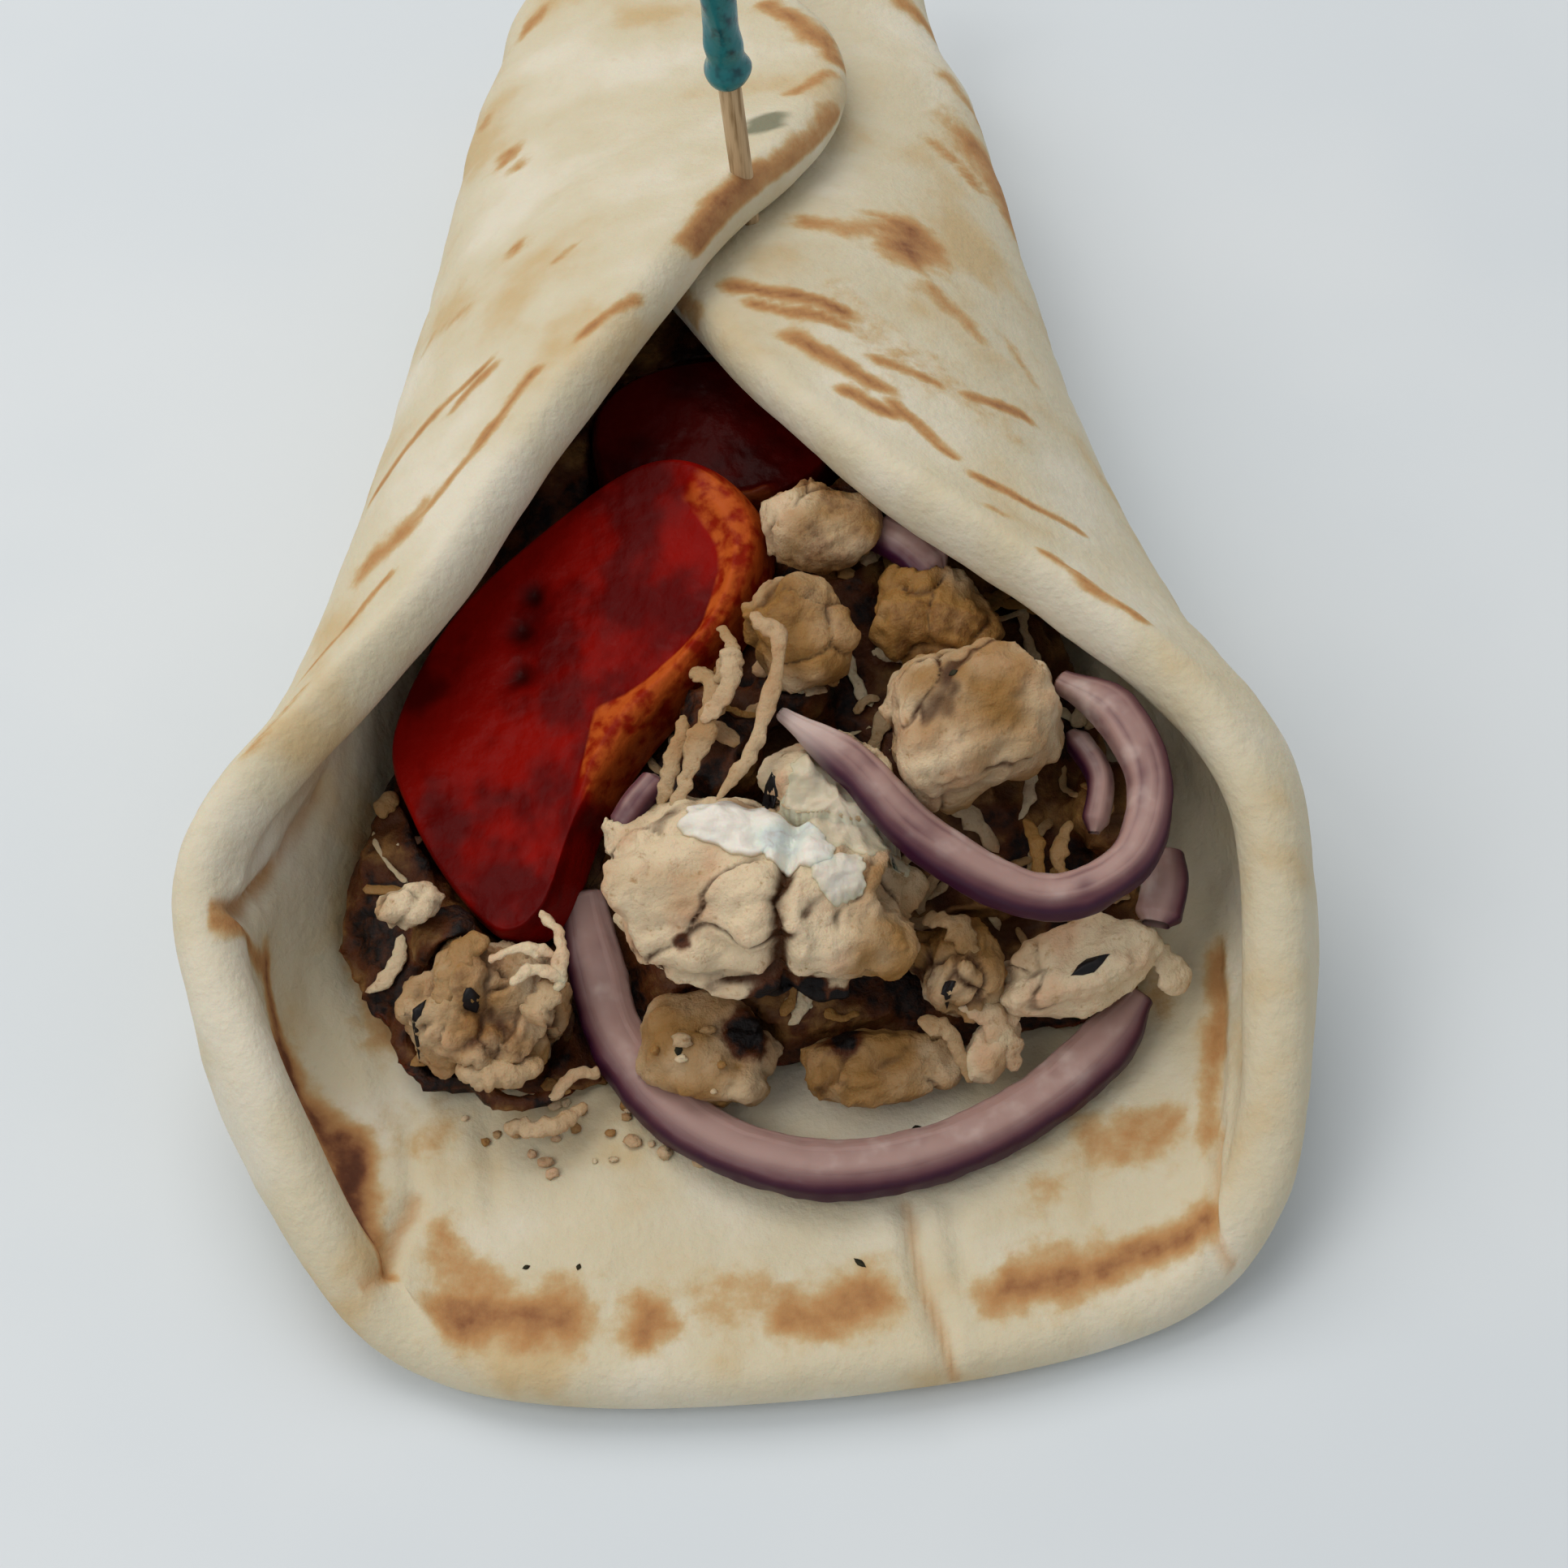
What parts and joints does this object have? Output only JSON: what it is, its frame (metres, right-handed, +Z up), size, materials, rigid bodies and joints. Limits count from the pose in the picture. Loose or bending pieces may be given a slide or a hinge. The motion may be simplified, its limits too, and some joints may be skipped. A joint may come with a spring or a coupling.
{
  "type": "gyro wrap",
  "caption": "Thick round pita rolled into an open cone round chicken, tomato and red onion, one flap lapped over the other and held by a wooden pick with a film frill.",
  "frame": {"origin": "on the flat spot that the wrap rests on, under the middle of the pita", "axes": "+Z up, +Y from the open mouth towards the tucked end, +X to the right as seen from the mouth"},
  "size_m": [0.1033, 0.1666, 0.0857],
  "materials": {
    "pita": "soft baked dough, matt, with browned spots",
    "chicken": "moist grilled chicken, satin, with browned edges",
    "filling": "moist shredded chicken in its juices, satin",
    "tomato": "wet cut tomato, glossy",
    "onion": "wet raw red onion, glossy and slightly translucent",
    "wood": "bare birch, matt",
    "film": "thin teal film, glossy"
  },
  "bodies": {
    "root": {"pita": "pita", "chicken_filling": "filling", "chicken_main": "chicken", "chicken_right_upper": "chicken", "chicken_centre_upper": "chicken", "chicken_top": "chicken", "chicken_top_right": "chicken", "chicken_sauced": "chicken", "chicken_right_low": "chicken", "chicken_right_flaky": "chicken", "chicken_low_left": "chicken", "chicken_low_middle": "chicken", "chicken_left_cluster": "chicken", "chicken_left_bit": "chicken", "chicken_shard": "chicken", "tomato_front": "tomato", "tomato_back": "tomato", "onion_upper_hook": "onion", "onion_lower_ring": "onion", "onion_top_piece": "onion", "onion_inner_strip": "onion", "onion_right_slice": "onion", "onion_left_bit": "onion", "pick_stick": "wood", "pick_sleeve": "film", "pick_frill": "film"}
  },
  "joints": []
}
